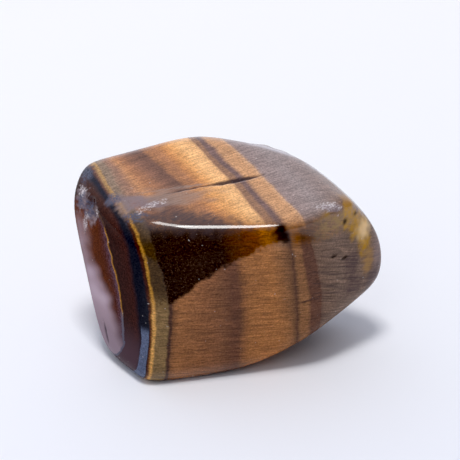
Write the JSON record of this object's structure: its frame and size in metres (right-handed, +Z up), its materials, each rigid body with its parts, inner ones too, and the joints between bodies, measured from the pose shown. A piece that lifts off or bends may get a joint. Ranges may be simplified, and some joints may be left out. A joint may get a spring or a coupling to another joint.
{
  "type": "tumbled tiger's eye stone",
  "caption": "Polished tiger's eye tumble stone: a blocky rounded pebble with golden and brown fibre bands, lying on its flat base.",
  "frame": {"origin": "centre of the stone's outline seen from above, on the flat base that it lies on", "axes": "+X along the stone's length towards its slanted end, -Y out of the long front face, +Z up"},
  "size_m": [0.029, 0.018, 0.0193],
  "materials": {
    "tigers_eye": "polished, with a few worn matte spots"
  },
  "bodies": {
    "root": {"stone": "tigers_eye"}
  },
  "joints": []
}
